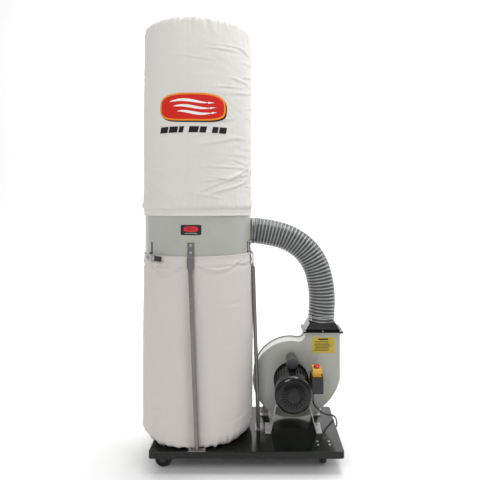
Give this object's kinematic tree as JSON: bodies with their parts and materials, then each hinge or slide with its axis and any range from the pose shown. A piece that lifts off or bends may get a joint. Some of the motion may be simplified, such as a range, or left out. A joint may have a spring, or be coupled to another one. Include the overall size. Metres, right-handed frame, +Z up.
{
  "type": "dust collector",
  "caption": "Mobile workshop dust collector: cloth filter bag and collection bag on a drum, ribbed hose to a motor-driven blower, on a caster deck.",
  "frame": {"origin": "centre of the bounding box at floor level, loose cord left out", "axes": "+Z up, +X to the machine's right along the deck, -Y to the front where the motor faces"},
  "size_m": [0.9619, 0.6792, 2.056],
  "materials": {
    "deck_paint": "gloss",
    "caster_metal": "satin",
    "caster_wheel": "satin",
    "zinc": "satin",
    "strut_paint": "gloss",
    "drum_paint": "gloss",
    "badge": "gloss",
    "hook_metal": "satin",
    "filter_cloth": "matte",
    "collection_cloth": "matte",
    "grip_plastic": "satin",
    "hose_plastic": "satin",
    "adapter_paint": "gloss",
    "label": "satin",
    "splitter_plastic": "satin",
    "stand_paint": "satin",
    "impeller_metal": "satin",
    "shaft_steel": "satin",
    "motor_paint": "gloss",
    "motor_core": "rough",
    "fan_plastic": "satin",
    "capacitor_plastic": "gloss",
    "switch_box_plastic": "satin",
    "switch_yellow": "gloss",
    "stop_red": "gloss",
    "start_green": "gloss",
    "cord_rubber": "satin",
    "plug_plastic": "satin"
  },
  "bodies": {
    "machine": {"deck": "deck_paint", "caster_plates": "caster_metal", "caster_bolts": "zinc", "strut_front": "strut_paint", "strut_right": "strut_paint", "strut_back": "strut_paint", "strut_bolts": "zinc", "drum_shell": "drum_paint", "drum_inlet_collar": "drum_paint", "drum_badge": "badge", "bag_hooks": "hook_metal", "filter_bag": "filter_cloth", "filter_band": "zinc", "collection_bag": "collection_cloth", "collection_band": "zinc", "duct_hose": "hose_plastic", "hose_clamps": "zinc", "outlet_adapter": "adapter_paint", "scroll_wall": "drum_paint", "scroll_front_plate": "drum_paint", "scroll_back_plate": "drum_paint", "blower_label": "label", "inlet_splitter": "splitter_plastic", "blower_stand": "stand_paint", "rear_feet": "stand_paint", "blower_bolts": "zinc", "motor_frame": "motor_paint", "motor_end_bell": "motor_paint", "motor_stator": "motor_core", "motor_bearings": "shaft_steel", "fan_cover": "motor_paint", "capacitor_cover": "capacitor_plastic", "switch_box": "switch_box_plastic", "switch_body": "switch_yellow", "cable_gland": "plug_plastic", "power_cord": "cord_rubber", "cord_coil": "cord_rubber", "power_plug": "plug_plastic"},
    "fork_front_left": {"caster_fork_front_left": "caster_metal"},
    "wheel_front_left": {"caster_wheel_front_left": "caster_wheel"},
    "fork_front_right": {"caster_fork_front_right": "caster_metal"},
    "wheel_front_right": {"caster_wheel_front_right": "caster_wheel"},
    "fork_back_left": {"caster_fork_back_left": "caster_metal"},
    "wheel_back_left": {"caster_wheel_back_left": "caster_wheel"},
    "fork_back_right": {"caster_fork_back_right": "caster_metal"},
    "wheel_back_right": {"caster_wheel_back_right": "caster_wheel"},
    "rotor": {"motor_shaft": "shaft_steel", "impeller": "impeller_metal", "cooling_fan": "fan_plastic"},
    "filter_lever": {"filter_latch_lever": "zinc", "filter_latch_grip": "grip_plastic"},
    "filter_bail": {"filter_latch_bail": "zinc"},
    "collection_lever": {"collection_latch_lever": "zinc", "collection_latch_grip": "grip_plastic"},
    "collection_bail": {"collection_latch_bail": "zinc"},
    "switch_lid": {"switch_cover": "switch_yellow"},
    "mushroom": {"stop_mushroom": "stop_red"},
    "stop_key": {"stop_button": "stop_red"},
    "start_key": {"start_button": "start_green"},
    "port_plug": {"inlet_plug": "splitter_plastic"}
  },
  "joints": [
    {"name": "caster_swivel_front_left", "type": "hinge", "parent": "machine", "child": "fork_front_left", "pos_m": [-0.325, -0.16, 0.09], "axis": [0, 0, 1], "continuous": true},
    {"name": "caster_roll_front_left", "type": "hinge", "parent": "fork_front_left", "child": "wheel_front_left", "pos_m": [-0.355, -0.16, 0.0375], "axis": [0, 1, 0], "continuous": true},
    {"name": "caster_swivel_front_right", "type": "hinge", "parent": "machine", "child": "fork_front_right", "pos_m": [0.361, -0.16, 0.09], "axis": [0, 0, 1], "continuous": true},
    {"name": "caster_roll_front_right", "type": "hinge", "parent": "fork_front_right", "child": "wheel_front_right", "pos_m": [0.361, -0.13, 0.0375], "axis": [1, 0, 0], "continuous": true},
    {"name": "caster_swivel_back_left", "type": "hinge", "parent": "machine", "child": "fork_back_left", "pos_m": [-0.325, 0.181, 0.09], "axis": [0, 0, 1], "continuous": true},
    {"name": "caster_roll_back_left", "type": "hinge", "parent": "fork_back_left", "child": "wheel_back_left", "pos_m": [-0.325, 0.211, 0.0375], "axis": [1, 0, 0], "continuous": true},
    {"name": "caster_swivel_back_right", "type": "hinge", "parent": "machine", "child": "fork_back_right", "pos_m": [0.361, 0.181, 0.09], "axis": [0, 0, 1], "continuous": true},
    {"name": "caster_roll_back_right", "type": "hinge", "parent": "fork_back_right", "child": "wheel_back_right", "pos_m": [0.391, 0.181, 0.0375], "axis": [0, 1, 0], "continuous": true},
    {"name": "rotor_spin", "type": "hinge", "parent": "machine", "child": "rotor", "pos_m": [0.228, 0, 0.313], "axis": [0, 1, 0], "continuous": true},
    {"name": "filter_latch_open", "type": "hinge", "parent": "machine", "child": "filter_lever", "pos_m": [-0.088, 0.22863, 1.135], "axis": [0, 0, -1], "range_deg": [0, 120]},
    {"name": "filter_bail_swing", "type": "hinge", "parent": "filter_lever", "child": "filter_bail", "pos_m": [-0.09779, 0.22967, 1.135], "axis": [0, 0, -1], "range_deg": [-132, 0]},
    {"name": "collection_latch_open", "type": "hinge", "parent": "machine", "child": "collection_lever", "pos_m": [-0.40339, -0.18991, 0.934], "axis": [0, 0, -1], "range_deg": [0, 120]},
    {"name": "collection_bail_swing", "type": "hinge", "parent": "collection_lever", "child": "collection_bail", "pos_m": [-0.39414, -0.19328, 0.934], "axis": [0, 0, -1], "range_deg": [-132, 0]},
    {"name": "switch_lid_open", "type": "hinge", "parent": "machine", "child": "switch_lid", "pos_m": [0.34, -0.0175, 0.383], "axis": [-1, 0, 0], "range_deg": [0, 95]},
    {"name": "stop_press", "type": "slide", "parent": "switch_lid", "child": "mushroom", "axis": [0, 0, -1], "range_m": [0, 0.003], "stiffness_N_per_m": 400, "springref_m": -0.002},
    {"name": "stop_key_press", "type": "slide", "parent": "machine", "child": "stop_key", "axis": [0, 0, -1], "range_m": [0, 0.003], "stiffness_N_per_m": 400, "springref_m": -0.002},
    {"name": "start_key_press", "type": "slide", "parent": "machine", "child": "start_key", "axis": [0, 0, -1], "range_m": [0, 0.003], "stiffness_N_per_m": 400, "springref_m": -0.002},
    {"name": "port_plug_out", "type": "slide", "parent": "machine", "child": "port_plug", "axis": [0, 1, 0], "range_m": [0, 0.06]}
  ],
  "couplings": [
    {"joint": "filter_bail_swing", "follows": "filter_latch_open", "ratio": -1.1},
    {"joint": "collection_bail_swing", "follows": "collection_latch_open", "ratio": -1.1},
    {"joint": "stop_key_press", "follows": "stop_press", "ratio": 1}
  ]
}
